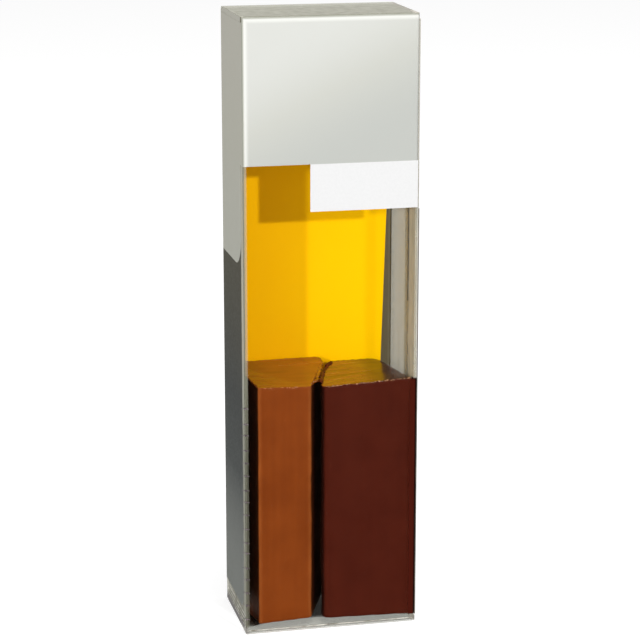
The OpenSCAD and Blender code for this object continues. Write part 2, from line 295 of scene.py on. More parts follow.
# Beside the dark stick, below its cut, the sheet is painted dark brown: a painted reflection of the
# stick seen through the fold.
beside_stick = add("MapRange", x, PAINTED_REFLECTION_FROM - SOFT, PAINTED_REFLECTION_FROM + SOFT, **SMOOTH)
reflection_reach = add("MapRange", y, PAINTED_REFLECTION_TO + SOFT, PAINTED_REFLECTION_TO - SOFT, **SMOOTH)
above_foot = add("MapRange", height, PAINTED_REFLECTION_ABOVE - SOFT, PAINTED_REFLECTION_ABOVE + SOFT, **SMOOTH)
below_cut = add("MapRange", height, PAINTED_REFLECTION_BELOW + SOFT, PAINTED_REFLECTION_BELOW - SOFT, **SMOOTH)
reflection_plan = add("Math", beside_stick, reflection_reach, operation="MULTIPLY")
reflection_height = add("Math", above_foot, below_cut, operation="MULTIPLY")
painted_stick_reflection = add("Math", reflection_plan, reflection_height, operation="MULTIPLY")
print("waxed strip:", round((PAINTED_REFLECTION_BELOW - PAINTED_REFLECTION_ABOVE) / MM, 1), "mm high")

# %% [markdown]
# ## Clear sheet: shader
# A glass shader would keep the lamps out of the box, so a transparent shader is mixed with a hazy
# one. Lamp light passes more freely than the look does, but the left fold, which is badly creased,
# scatters it. The haze takes a colour for each place: grey for the sheet, pale specks for dust, dark
# brown for the painted shadow under the wax and for the painted reflection of the dark stick. Glue
# and the painted reflection get a rougher shader than the sheet.

# %% Amount of haze
LAMP_SHARE_OF_HAZE = 0.08
PAINTED_SHADOW_HAZE = 0.6

# Painted shadow under the wax and painted reflection beside the dark stick, as haze.
painted_shadow_and_reflection = add("Math", painted_shadow, PAINTED_SHADOW_HAZE, painted_stick_reflection, operation="MULTIPLY_ADD")
sheet_haze = add("Math", streaky, whitening, operation="ADD")
spot_haze = add("Math", painted_shadow_and_reflection, glued, operation="ADD")
seen_haze = add("Math", sheet_haze, spot_haze, operation="ADD")
front_fold = add("Math", fold, in_front, operation="MULTIPLY")
left_fold = add("Math", front_fold, on_left, operation="MULTIPLY")
lamp_sheet = add("Math", streaky, LAMP_SHARE_OF_HAZE, operation="MULTIPLY")
lamp_haze = add("Math", lamp_sheet, left_fold, operation="MAXIMUM")
to_lamp = add("LightPath").outputs["Is Shadow Ray"]
haze = add("Mix", to_lamp, seen_haze, lamp_haze)
print("share of the haze that stops lamp light:", LAMP_SHARE_OF_HAZE)

# %% Colour of the haze
# Where the painted reflection of the dark stick turns darkest.
BLACK_EDGE = 16.66 * MM
RIGHT_SIDE = (15.9 * MM, 16.3 * MM)

dust = add("ValToRGB", lines, stops=[(0.35, "#ADAC97"), (0.65, "#B5B4A0")])
speck_noise = add("TexNoise", add("Mapping", where, Scale=patches(0.5, 0.5, 0.5)), Scale=1.0)
specks = add("ValToRGB", speck_noise, stops=[(0.4, "#B9B2A8"), (0.7, "#F4F0EA")])
at_right = add("MapRange", x, *RIGHT_SIDE, **SMOOTH)
shaded = add("Mix", at_right, dust, "#B4AE9F", **COLOURS)
in_glue = add("MapRange", glued, 0.0, 0.1, **SMOOTH)
milky = add("Mix", in_glue, shaded, "#D6D1C6", **COLOURS)
on_sheet = add("Mix", dust_and_shade, milky, specks, **COLOURS)
# Under the wax the haze is dark brown: painted shadow.
in_painted_shadow = add("MapRange", painted_shadow, 0.0, 0.1, **SMOOTH)
with_painted_shadow = add("Mix", in_painted_shadow, on_sheet, "#2B1910", **COLOURS)
# Painted reflection of the dark stick: dark brown, darkest at the fold.
at_edge = add("MapRange", x, BLACK_EDGE - SOFT, BLACK_EDGE + SOFT, **SMOOTH)
brown = add("Mix", at_edge, "#40130A", "#0D0403", **COLOURS)
in_painted_reflection = add("MapRange", painted_stick_reflection, 0.0, 0.01, **SMOOTH)
tint = add("Mix", in_painted_reflection, with_painted_shadow, brown, **COLOURS)
# The stain tint is painted shadow and the wax tint is painted reflection.
print("tints: sheet, glue, dust, stain and wax")

# %% Clear sheet shader
CLEAR_SHEETS = [
    "front_panel", "left_panel", "back_panel", "right_panel", "glue_flap",
    "top_lid", "top_tongue", "top_left_flap", "top_right_flap",
    "bottom_lid", "bottom_tongue", "bottom_left_flap", "bottom_right_flap",
]

# Near the floor the see-through colour is darker: painted shade.
edgewise = add("Mix", dust_and_shade, "#B4B0A4", "#7E796E", **COLOURS)
seen_share = add("MapRange", to_lamp, 0.0, 1.0, 1.0, LAMP_SHARE_OF_HAZE, **SMOOTH)
seen_along = add("Math", along, seen_share, operation="MULTIPLY")
passed = add("Mix", seen_along, "#FDFEFD", edgewise, **COLOURS)
clear = add("BsdfTransparent", passed)
hazy = add("BsdfPrincipled", Base_Color=tint, Roughness=0.2, IOR=1.575, Specular_IOR_Level=0.027)
dull = add("BsdfPrincipled", Base_Color=tint, Roughness=0.8, IOR=1.1)
dull_places = add("Math", glued, painted_stick_reflection, operation="ADD")
scattering = add("MapRange", dull_places, 0.0, 0.2, **SMOOTH)
add("OutputMaterial", add("MixShader", haze, clear, add("MixShader", scattering, hazy, dull)))
for name in CLEAR_SHEETS:
    finish_node(name, clear_pet)
print("clear sheets:", len(CLEAR_SHEETS))

# %% [markdown]
# ## Glue
# The seam at the right is closed with clear hot-melt glue. It dries as a milky film with small
# bubbles, so it is partly clear, with a noise that breaks it up.

# %% Glue material
glue, add, where = new_material("clear_hot_melt_glue")
bubbles = add("TexNoise", add("Mapping", where, Scale=patches(1.5, 1.5, 4)), Scale=1.0, Detail=4.0)
milk = add("MapRange", bubbles, 0.35, 0.7, 0.4, 0.8, **SMOOTH)
to_lamp = add("LightPath").outputs["Is Shadow Ray"]
seen_share = add("MapRange", to_lamp, 0.0, 1.0, 1.0, LAMP_SHARE_OF_HAZE, **SMOOTH)
film_share = add("Math", milk, seen_share, operation="MULTIPLY")
clear = add("BsdfTransparent", "#FBFAF6")
film = add("BsdfPrincipled", Base_Color="#D9D4C6", Roughness=0.35, IOR=1.48)
add("OutputMaterial", add("MixShader", film_share, clear, film))
finish_node("glue_line", glue)
print("glue:", glue.name)

# %% [markdown]
# ## Printing ink
# The prints are UV inks on the outside of the sheet. They cover fully and have a satin shine. The
# white field is a shade greyer towards its lower right, and the dark field grows paler towards the
# floor, which is a painted reflection of the white floor. A ramp over the height gives that, and a
# fine noise keeps the ink from looking poured. Under the greys lies a brown coat that keeps light
# from shining through, so from inside the box both greys look alike: the normal tells which side of
# the ink is seen. The coat's brown is darkened as painted shade for the inside of the box. The white
# ink has painted shade on a soft rim along the left fold and the top, where the sheet bends away, and
# a painted highlight in a line beside it.

# %% Ink material
SATIN = 0.42
SATIN_SPREAD = 0.08
# Brown undercoat, darkened as painted shade for the inside of the box.
BROWN_COAT_AND_SHADE = "#756A56"
RIM_PAINTED_SHADE = (0.5 * MM, 0.1 * MM)
RIM_BRIGHT = (1.3 * MM, 0.5 * MM)


def ink_material(name, stops, low, high, inside_code, inward, shine, lean=0.0, rim=None):
    """A satin ink whose colour runs up through the stops, given as (share of height, hex code)."""
    made, add, where = new_material(name)
    up = add("VectorMath", where, (-lean, 0, 1), operation="DOT_PRODUCT")
    outside = add("ValToRGB", add("MapRange", up, low, high, **SMOOTH), stops=stops)
    if rim:
        x, y, z = add("SeparateXYZ", where).outputs
        from_fold = add("Math", x, rim[0], operation="SUBTRACT")
        from_top = add("Math", rim[1], z, operation="SUBTRACT")
        inset = add("Math", from_fold, from_top, operation="MINIMUM")
        # A painted highlight beside the rim, and painted shade on the rim, where the sheet bends away.
        bright = add("MapRange", inset, *RIM_BRIGHT, 0.0, 0.6, **SMOOTH)
        painted_edge_shade = add("MapRange", inset, *RIM_PAINTED_SHADE, **SMOOTH)
        outside = add("Mix", bright, outside, "#E6E6E1", **COLOURS)
        outside = add("Mix", painted_edge_shade, outside, "#9FA094", **COLOURS)
    fine = add("TexNoise", add("Mapping", where, Scale=patches(0.4, 0.4, 0.4)), Scale=1.0)
    turned = add("VectorMath", add("TexCoord").outputs["Normal"], inward, operation="DOT_PRODUCT")
    inside = add("MapRange", turned, 0.4, 0.6, **SMOOTH)
    ink = add(
        "BsdfPrincipled",
        Base_Color=add("Mix", inside, outside, inside_code, **COLOURS),
        Roughness=add("MapRange", fine, 0.0, 1.0, SATIN - SATIN_SPREAD, SATIN + SATIN_SPREAD, **SMOOTH),
        Specular_IOR_Level=shine,
        Normal=add("Bump", Height=fine, Distance=0.02 * MM, Strength=0.08)
    )
    add("OutputMaterial", ink)
    return made


def ink_on(fields, **look):
    """Finishes print fields in one ink, over the height of the first."""
    low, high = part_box(fields[0])
    ink = ink_material(low=low.z, high=high.z, **look)
    for field in fields:
        finish_node(field, ink)
    print(ink.name, "on", fields)
    return ink


print("satin roughness:", SATIN)

# %% Print fields
ink_on(
    ["white_field"], name="white_uv_ink", shine=0.2, lean=0.5, rim=(BOX_LOW.x, BOX_HIGH.z),
    inside_code="#D8D8D2", inward=(0, 1, 0),
    stops=[(0.0, "#ADAFAA"), (0.5, "#B8B9B2"), (1.0, "#C4C5C0")]
)
pale_ink = ink_on(
    ["left_pale_field", "back_pale_field"], name="pale_grey_uv_ink", shine=0.018,
    inside_code=BROWN_COAT_AND_SHADE, inward=(1, -1, 0),
    stops=[(0.0, "#B7B7AB"), (0.6, "#BBBAAD"), (1.0, "#BDBBAF")]
)
# The dark ink is paler towards the floor: painted reflection of the white floor.
dark_ink = ink_on(
    ["left_dark_field", "back_dark_field"], name="dark_grey_uv_ink", shine=0.011,
    inside_code=BROWN_COAT_AND_SHADE, inward=(1, -1, 0),
    stops=[(0.0, "#797C77"), (0.3, "#393D3B"), (0.6, "#2D302D"), (1.0, "#423F30")]
)

# %% [markdown]
# ## Label
# The label is smooth white paper stock with a thin coating. Paper has short fibres, about half a
# millimetre long, which show as a very slight unevenness.

# %% Label material
label_paper, add, where = new_material("coated_white_paper")
fibres = add("TexNoise", add("Mapping", where, Scale=patches(0.5, 0.5, 0.5)), Scale=1.0, Detail=3.0)
paper = add(
    "BsdfPrincipled",
    Base_Color=add("ValToRGB", fibres, stops=[(0.2, "#D0D0D0"), (0.8, "#D5D5D5")]),
    Roughness=0.5,
    Specular_IOR_Level=0.25,
    Normal=add("Bump", Height=fibres, Distance=0.02 * MM, Strength=0.1)
)
add("OutputMaterial", paper)
finish_node("colour_label", label_paper)
print("label:", label_paper.name)

# %% [markdown]
# ## Wax
# Repair wax is a soft coloured wax, cast in a warm mould. Its sides have a dull, greasy shine,
# faint upright flow lines and small pale specks. The faces that look left and right are painted
# darker as painted shade, and the front upright edges are ragged and carry a painted highlight. The
# top was cut with a knife, which leaves a much glossier face with shallow marks along the stroke.

# %% Cast wax
SPECK_SPACING = 2.6 * MM


def wax_material(name, dark_code, body_code, edge_code, side_shade_code):
    """Cast wax: cloudy colour, upright flow lines, pale specks, a painted highlight on the front edges
    and painted shade on the sides.
    """
    made, add, where = new_material(name)
    clouds = add("TexNoise", add("Mapping", where, Scale=patches(6, 6, 6)), Scale=1.0, Detail=4.0)
    flow = add("TexNoise", add("Mapping", where, Scale=patches(1.2, 1.2, 30)), Scale=1.0, Detail=4.0)
    faint_flow = add("Math", flow, 0.5, -0.25, operation="MULTIPLY_ADD")
    shade = add("Math", clouds, faint_flow, operation="ADD")
    front = add("ValToRGB", shade, stops=[(0.25, dark_code), (0.7, body_code)])
    # Faces that look left or right are painted darker: painted shade.
    across = add("VectorMath", add("TexCoord").outputs["Normal"], (1, 0, 0), operation="DOT_PRODUCT")
    sideways = add("Math", across, operation="ABSOLUTE")
    cast = add("Mix", add("MapRange", sideways, 0.6, 0.9, **SMOOTH), front, side_shade_code, **COLOURS)
    cells = add("TexVoronoi", Vector=where, Scale=1 / SPECK_SPACING)
    specks = add("MapRange", cells.outputs["Distance"], 0.05, 0.03, 0.0, 0.5, **SMOOTH)
    # Lighter front edges: painted highlight.
    wear_and_highlight = add("Attribute", attribute_name="edge_wear_and_highlight").outputs["Fac"]
    rubbed_and_highlit = add("Math", wear_and_highlight, clouds, operation="MULTIPLY")
    paler = add("Math", rubbed_and_highlit, specks, operation="MAXIMUM")
    wax = add(
        "BsdfPrincipled",
        Base_Color=add("Mix", paler, cast, edge_code, **COLOURS),
        Roughness=add("MapRange", clouds, 0.2, 0.8, 0.36, 0.56, **SMOOTH),
        Specular_IOR_Level=0.04,
        Normal=add("Bump", Height=flow, Distance=0.08 * MM, Strength=0.25)
    )
    add("OutputMaterial", wax)
    return made


light_wax = wax_material("light_brown_cast_wax", "#77340D", "#853D12", "#AC5F2E", side_shade_code="#3F1A08")
dark_wax = wax_material("dark_brown_cast_wax", "#431308", "#4B180C", "#8A4A38", side_shade_code="#240905")
print("cast wax:", light_wax.name, dark_wax.name)

# %% Cut wax
STROKE_LENGTHS = 8


def cut_wax_material(name, dark_code, body_code, stroke, end_code, end_from, end_to):
    """Knife-cut wax: glossy, with marks along the stroke, and another shade towards one end."""
    made, add, where = new_material(name)
    stroke_patches = patches(STROKE_LENGTHS * stroke, stroke, STROKE_LENGTHS * stroke)
    strokes = add("TexNoise", add("Mapping", where, Scale=stroke_patches), Scale=1.0, Detail=4.0)
    cut = add("ValToRGB", strokes, stops=[(0.35, dark_code), (0.65, body_code)])
    across = add("VectorMath", where, (1, 0, 0), operation="DOT_PRODUCT")
    toward_end = add("MapRange", across, end_from * MM, end_to * MM, **SMOOTH)
    wax = add(
        "BsdfPrincipled",
        Base_Color=add("Mix", toward_end, cut, end_code, **COLOURS),
        Roughness=add("MapRange", strokes, 0.2, 0.8, 0.14, 0.3, **SMOOTH),
        IOR=1.65,
        Normal=add("Bump", Height=strokes, Distance=0.1 * MM, Strength=0.45)
    )
    add("OutputMaterial", wax)
    return made


light_cut = cut_wax_material(
    "light_brown_cut_wax", "#85440F", "#9A5217", stroke=2.2, end_code="#743A12", end_from=-8, end_to=-16
)
# The dark cut's orange-brown streaks are a painted reflection of the yellow spatula, and its darker
# right end is where that painted reflection stops.
dark_cut = cut_wax_material(
    "dark_brown_cut_wax", "#57260E", "#93521C", stroke=1.2, end_code="#3A1409", end_from=6, end_to=12
)
print("cut wax:", light_cut.name, dark_cut.name)

# %% [markdown]
# ## Wax sticks
# Each stick is a bar with four slanted sides, as it left the mould. A bar is quick to make from
# the four corners of its floor plan: extrude the plan, slope the cut, and bevel each upright edge.
# A voxel remesh then spreads small even faces all over, and a smooth noise moves them, because
# soft wax is never quite flat. It moves the rim of the cut most, where the knife left it ragged.
# The vertices near a front upright edge carry how ragged it is and how much painted highlight it gets.

# %% Pieces and their modifiers
def link_piece(name, bm, materials):
    """Turns a bmesh into a linked object with its materials."""
    mesh = bpy.data.meshes.new(name)
    bm.to_mesh(mesh)
    bm.free()
    for material in materials:
        mesh.materials.append(material)
    piece = bpy.data.objects.new(name, mesh)
    bpy.context.scene.collection.objects.link(piece)
    return piece


def apply_modifiers(piece):
    """Replaces a piece's mesh by what its modifiers make of it."""
    seen = piece.evaluated_get(bpy.context.evaluated_depsgraph_get())
    old = piece.data
    made = bpy.data.meshes.new_from_object(seen)
    piece.modifiers.clear()
    piece.data = made
    bpy.data.meshes.remove(old)
    made.name = piece.name


# %% Soft wax
WEAR_AND_HIGHLIGHT_REACH = 0.8 * MM
CUT_DEPTH = 2.5 * MM
FOOT_GRIP = 2 * MM


def soften_wax(piece, corners):
    """Moves a stick's faces by a smooth noise, marks the front edges for raggedness and a painted
    highlight, and picks out its cut top.
    """
    mesh = piece.data
    floor = min(vert.co.z for vert in mesh.vertices)
    top = max(vert.co.z for vert in mesh.vertices)
    right = max(corner.x for corner in corners)
    wear_and_highlight = mesh.attributes.new("edge_wear_and_highlight", "FLOAT", "POINT")
    moves = []
    for vert in mesh.vertices:
        # In millimetres: long and short waves, and a little shrinkage that keeps the stick slim.
        place = vert.co / MM
        wave = 0.10 * noise.noise(place / 9) + 0.035 * noise.noise(place / 2.2) - 0.03
        on_rim = vert.co.z > top - CUT_DEPTH and 0.15 < vert.normal.z < 0.9
        near = min((vert.co.xy - corner.xy).length for corner in corners[:2])
        # Near a front corner: ragged edges and a painted highlight.
        rubbed_and_highlit = max(0.0, 1 - near / WEAR_AND_HIGHLIGHT_REACH) if vert.normal.y < -0.4 else 0.0
        ragged = 0.18 * noise.noise(place / 0.8) if on_rim else 0.16 * rubbed_and_highlit * noise.noise(place / 1.7)
        grip = min(1.0, (vert.co.z - floor) / FOOT_GRIP)
        moves.append(vert.normal * (wave + ragged) * grip * MM)
        wear_and_highlight.data[vert.index].value = rubbed_and_highlit
    for vert, move in zip(mesh.vertices, moves):
        vert.co += move
        vert.co.x = min(vert.co.x, right)
    for polygon in mesh.polygons:
        polygon.use_smooth = True
        polygon.material_index = int(polygon.normal.z > 0.7 and polygon.center.z > top - CUT_DEPTH)
    mesh.update()
    print(piece.name, "faces:", len(mesh.polygons))


print("rubbed edges reach", round(WEAR_AND_HIGHLIGHT_REACH / MM, 2), "mm")


# %% Cast bar
VOXEL = 0.3 * MM


def wax_bar(name, stick, corners, radii, materials):
    """A cast bar that stands where the CAD stick does; its corners are the points of its cut top."""
    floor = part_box(stick)[0].z
    bm = bmesh.new()
    plan = bm.faces.new([bm.verts.new((corner.x, corner.y, floor)) for corner in corners])
    raised = bmesh.ops.extrude_face_region(bm, geom=[plan])["geom"]
    for vert in [g for g in raised if isinstance(g, bmesh.types.BMVert)]:
        vert.co.z = min(corners, key=lambda corner: (corner.xy - vert.co.xy).length).z
    for corner, radius in zip(corners, radii):
        edges = [e for e in bm.edges if all((v.co.xy - corner.xy).length < VOXEL for v in e.verts)]
        bmesh.ops.bevel(
            bm, geom=edges, offset=radius, offset_type="OFFSET", segments=6, profile=0.5,
            affect="EDGES", material=-1
        )
    bmesh.ops.recalc_face_normals(bm, faces=bm.faces)
    piece = link_piece(name, bm, materials)
    remesh = piece.modifiers.new("even_faces", "REMESH")
    remesh.mode = "VOXEL"
    remesh.voxel_size = VOXEL
    apply_modifiers(piece)
    soften_wax(piece, corners)
    return piece


print("faces of about", round(VOXEL / MM, 2), "mm")


# %% Light stick
LIGHT_CORNERS = [
    Vector((-14.1, -9.0, 49.3)) * MM, Vector((-3.43, -7.8, 48.6)) * MM,
    Vector((2.5, 7.1, 50.7)) * MM, Vector((-16.5, 7.1, 50.5)) * MM,
]
light_body = wax_bar(
    "light_stick_body", "light_wax_stick", LIGHT_CORNERS,
    radii=(0.5 * MM, 0.5 * MM, 2.4 * MM, 0.8 * MM),
    materials=[light_wax, light_cut]
)
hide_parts("light_wax_stick")
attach(light_body, "light_wax_stick")

# %% Dark stick
DARK_CORNERS = [
    Vector((-1.76, -8.6, 48.6)) * MM, Vector((16.25, -9.8, 49.8)) * MM,
    Vector((13.16, 7.1, 49.7)) * MM, Vector((2.7, 7.1, 49.5)) * MM,
]
dark_body = wax_bar(
    "dark_stick_body", "dark_wax_stick", DARK_CORNERS,
    radii=(1.8 * MM, 0.3 * MM, 2.0 * MM, 2.0 * MM),
    materials=[dark_wax, dark_cut]
)
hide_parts("dark_wax_stick")
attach(dark_body, "dark_wax_stick")

# %% [markdown]
# ## Burr and crumbs
# The knife pushed up a thin burr along the dark stick's left edge and smeared the light wax over
# most of the gap. Each is a row of vertices along an edge, extruded in steps and then given a
# thickness. The smear stops just short of the dark stick, so that either stick can be lifted alone.
# The crumbs along the rims are small balls, squeezed by chance, from a fixed seed.

# %% Broken wax materials
def crumb_material(name, dark_code, pale_code, shine=0.5):
    """Small broken bits of wax."""
    made, add, where = new_material(name)
    broken = add("TexNoise", add("Mapping", where, Scale=patches(0.6, 0.6, 0.6)), Scale=1.0)
    wax = add(
        "BsdfPrincipled",
        Base_Color=add("ValToRGB", broken, stops=[(0.35, dark_code), (0.65, pale_code)]),
        Roughness=0.35,
        Specular_IOR_Level=shine
    )
    add("OutputMaterial", wax)
    return made


curled_wax = crumb_material("curled_wax", "#300C06", "#6E2C14", shine=0.05)
dark_crumbs = crumb_material("dark_wax_crumbs", "#5A2414", "#D39C74")
light_crumbs = crumb_material("light_wax_crumbs", "#8A4417", "#D98B4E")
print("broken wax:", curled_wax.name, dark_crumbs.name, light_crumbs.name)

# %% Thin strips of wax
STRIP_POINTS = 32


def wax_strip(name, edge, steps, thickness, material, stick):
    """A thin strip of wax: a row of points along an edge, extruded in steps that grow unevenly."""
    bm = bmesh.new()
    row = [bm.verts.new(point) for point in edge]
    edges = [bm.edges.new(pair) for pair in zip(row, row[1:])]
    for reach in steps:
        grown = bmesh.ops.extrude_edge_only(bm, edges=edges)["geom"]
        edges = [g for g in grown if isinstance(g, bmesh.types.BMEdge)]
        for vert in [g for g in grown if isinstance(g, bmesh.types.BMVert)]:
            vert.co += reach(vert.co)
    bmesh.ops.recalc_face_normals(bm, faces=bm.faces)
    bmesh.ops.solidify(bm, geom=bm.faces, thickness=thickness)
    strip = link_piece(name, bm, [material])
    for polygon in strip.data.polygons:
        polygon.use_smooth = True
    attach(strip, stick)
    print(name, "on", stick, "faces:", len(strip.data.polygons))


def along_edge(front, back, start, end, inset, bend=0.0):
    """Points along a stick's edge between two shares of its length, inset and bent to the right."""
    shares = [start + (end - start) * i / (STRIP_POINTS - 1) for i in range(STRIP_POINTS)]
    bends = [Vector((bend * max(0.0, share - 0.5) ** 2, 0, 0)) for share in shares]
    return [front.lerp(back, share) + inset + bent for share, bent in zip(shares, bends)]


def uneven(place, size):
    """A number near 1 that changes along a strip, within patches of this size."""
    return 1 + 0.6 * noise.noise(Vector((place.y / size, 0.5, 0.5)))


print("points along a strip:", STRIP_POINTS)


# %% Burr
BURR_INSET = Vector((0.32, 0, -0.15)) * MM
BURR_BEND = 9 * MM
BURR_LEAN = Vector((-0.25, 0, 0.5)) * MM
BURR_CURL = Vector((-0.28, 0, 0.12)) * MM
BURR_THICKNESS = 0.14 * MM

dark_edge = (DARK_CORNERS[0], DARK_CORNERS[3])
burr_edge = along_edge(*dark_edge, 0.14, 0.9, BURR_INSET, BURR_BEND)
burr_steps = [
    lambda place: BURR_LEAN * uneven(place, 1.7 * MM),
    lambda place: BURR_CURL * uneven(place, 0.9 * MM),
]
wax_strip("dark_stick_burr", burr_edge, burr_steps, BURR_THICKNESS, curled_wax, "dark_wax_stick")

# %% Smear
SMEAR_INSET = Vector((-0.5, 0, -0.12)) * MM
SMEAR_CLEARANCE = 0.25 * MM
SMEAR_TORN = 1.6 * MM
SMEAR_SAG = 0.1 * MM
SMEAR_THICKNESS = 0.2 * MM

smear_edge = along_edge(LIGHT_CORNERS[1], LIGHT_CORNERS[2], 0.12, 0.86, SMEAR_INSET)


def across_gap(place):
    """From the light stick's edge to just before the dark one, with a torn front end."""
    share = (place.y - dark_edge[0].y) / (dark_edge[1].y - dark_edge[0].y)
    gap = dark_edge[0].lerp(dark_edge[1], share).x - place.x - SMEAR_CLEARANCE
    torn = min(1.0, max(0.3, (place.y - smear_edge[0].y) / SMEAR_TORN))
    return Vector((gap * torn * min(1.0, uneven(place, 0.7 * MM)), 0, -SMEAR_SAG))


wax_strip("light_stick_smear", smear_edge, [across_gap], SMEAR_THICKNESS, light_cut, "light_wax_stick")

# %% Crumbs
chance = random.Random(11)


def add_crumbs(name, start, end, count, material, stick):
    """Strews crumbs along a stick's edge from start to end."""
    bm = bmesh.new()
    for _ in range(count):
        strewn = Vector((0, chance.uniform(-0.02, 0.3), chance.uniform(-0.16, 0.06))) * MM
        place = start.lerp(end, chance.uniform(0, 1)) + strewn
        squeeze = Matrix.Diagonal((chance.uniform(0.8, 2.6), 1.0, chance.uniform(0.5, 1.0), 1.0))
        bmesh.ops.create_icosphere(
            bm, subdivisions=1, radius=chance.uniform(0.05, 0.14) * MM,
            matrix=Matrix.Translation(place) @ squeeze
        )
    crumbs = link_piece(name, bm, [material])
    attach(crumbs, stick)
    print(name, "faces:", len(crumbs.data.polygons))


add_crumbs(
    "dark_stick_crumbs", DARK_CORNERS[0] + Vector((1.2, 0, 0)) * MM,
    DARK_CORNERS[1] - Vector((0.4, 0, 0)) * MM, 60, dark_crumbs, "dark_wax_stick"
)
add_crumbs(
    "light_stick_crumbs", LIGHT_CORNERS[0] + Vector((0.1, 0.05, -0.05)) * MM,
    LIGHT_CORNERS[1] + Vector((-0.1, 0.05, -0.1)) * MM, 40, light_crumbs, "light_wax_stick"
)

# %% [markdown]
# ## Spatula
# The spatula is moulded polystyrene: a flat blade that widens to a thin working edge. Its plan has
# four corners. Bevelling the corner vertices rounds them, an extrusion gives the thickness, and a
# cut across the plan lets the top of the front face lean back to the working edge. A very faint
# orange emission paints light into it, which keeps its shaded parts warm, and its yellow is painted
# a little deeper towards the left as painted shade.

# %% Spatula material
yellow_styrene, add, where = new_material("moulded_yellow_polystyrene")
# Deeper, more orange yellow towards the left: painted shade.
from_left = add("VectorMath", where, (1, 0, 0), operation="DOT_PRODUCT")
across = add("MapRange", from_left, BOX_LOW.x, BOX_HIGH.x, 0.1, 0.9, **SMOOTH)
clouds = add("TexNoise", add("Mapping", where, Scale=patches(18, 18, 18)), Scale=1.0)
faint_clouds = add("Math", clouds, 0.4, -0.2, operation="MULTIPLY_ADD")
shade = add("Math", across, faint_clouds, operation="ADD")
mould_grain = add("TexNoise", add("Mapping", where, Scale=patches(0.8, 0.8, 0.8)), Scale=1.0, Detail=1.0)
styrene = add(
    "BsdfPrincipled",
    Base_Color=add("ValToRGB", shade, stops=[(0.2, "#FABA00"), (0.8, "#FCC500")]),
    Roughness=0.4,
    Specular_IOR_Level=0.02,
    Normal=add("Bump", Height=mould_grain, Distance=0.02 * MM, Strength=0.1),
    # Painted light: a faint orange glow.
    Emission_Color="#FF7600",
    Emission_Strength=0.09
)
add("OutputMaterial", styrene)
print("spatula:", yellow_styrene.name)

# %% Spatula plan
HANDLE_RADIUS = 4 * MM
BLADE_RADIUS = 2 * MM
EDGE_ROUND = 0.2 * MM
SIDE_TAPER = math.radians(1.9)

low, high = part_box("spatula")
narrow = high.x - (high.z - low.z) * math.tan(SIDE_TAPER)
outline = ((-narrow, low.z), (narrow, low.z), (high.x, high.z), (low.x, high.z))
bm = bmesh.new()
bm.faces.new([bm.verts.new((x, low.y, z)) for x, z in outline])
for end, radius in ((low.z, HANDLE_RADIUS), (high.z, BLADE_RADIUS)):
    corners = [v for v in bm.verts if abs(v.co.z - end) < EDGE_ROUND]
    bmesh.ops.bevel(
        bm, geom=corners, offset=radius, offset_type="OFFSET", segments=8, profile=0.5,
        affect="VERTICES", material=-1
    )
print("spatula plan:", len(bm.verts), "points")

# %% Spatula blade
WORKING_EDGE_LENGTH = 8 * MM
WORKING_EDGE_THICKNESS = 0.5 * MM
SHARP = math.radians(60)

bevel_start = high.z - WORKING_EDGE_LENGTH
whole = list(bm.verts) + list(bm.edges) + list(bm.faces)
bmesh.ops.bisect_plane(bm, geom=whole, plane_co=(0, 0, bevel_start), plane_no=(0, 0, 1))
back_wall = bmesh.ops.extrude_face_region(bm, geom=list(bm.faces))["geom"]
thickness = high.y - low.y
bmesh.ops.translate(
    bm, vec=(0, thickness, 0), verts=[g for g in back_wall if isinstance(g, bmesh.types.BMVert)]
)
for vert in bm.verts:
    rise = vert.co.z - bevel_start
    if rise > 0 and vert.co.y < low.y + EDGE_ROUND:
        vert.co.y += rise / WORKING_EDGE_LENGTH * (thickness - WORKING_EDGE_THICKNESS)
bmesh.ops.recalc_face_normals(bm, faces=bm.faces)
rims = [e for e in bm.edges if e.is_manifold and e.calc_face_angle() > SHARP]
bmesh.ops.bevel(
    bm, geom=rims, offset=EDGE_ROUND, offset_type="OFFSET", segments=2, profile=0.5,
    affect="EDGES", material=-1
)
spatula = link_piece("spatula_blade", bm, [yellow_styrene])
for polygon in spatula.data.polygons:
    polygon.use_smooth = len(polygon.vertices) == 4
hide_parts("spatula")
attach(spatula, "spatula")
print("spatula faces:", len(spatula.data.polygons))

# %% [markdown]
# ## Marks of the die
# The cutting die leaves small marks. A row of short nicks crosses the lower half of the left front
# fold, slanting down to the back. The cut edge at the seam shows as a dark line, and near the floor
# the sheet was pressed into a few bright lines. Each mark is a very thin bar on the sheet. The dark
# lines are drawn wider than a cut edge is, so that they show, and they cast no shadow.

# %% Marks on the sheet
MARK_THICKNESS = 0.03 * MM
left = BOX_LOW.x
front = nodes["front_panel"].bound_box[0][1]


def add_bar(bm, middle, size, turn=None):
    """Adds a small bar of this size, turned about its middle."""
    placed = Matrix.Translation(middle) @ (turn or Matrix()) @ Matrix.Diagonal((*size, 1.0))
    bmesh.ops.create_cube(bm, size=1.0, matrix=placed)


def worn_pet(name, sizes, stops, roughness, shine=0.5, shadow=True):
    """Sheet that a tool has roughened: a mottled colour in patches of these sizes."""
    made, add, where = new_material(name)
    mottle = add("TexNoise", add("Mapping", where, Scale=patches(*sizes)), Scale=1.0)
    colour = add("ValToRGB", mottle, stops=stops)
    surface = add("BsdfPrincipled", Base_Color=colour, Roughness=roughness, Specular_IOR_Level=shine)
    if not shadow:
        to_lamp = add("LightPath").outputs["Is Shadow Ray"]
        surface = add("MixShader", to_lamp, surface, add("BsdfTransparent"))
    add("OutputMaterial", surface)
    return made


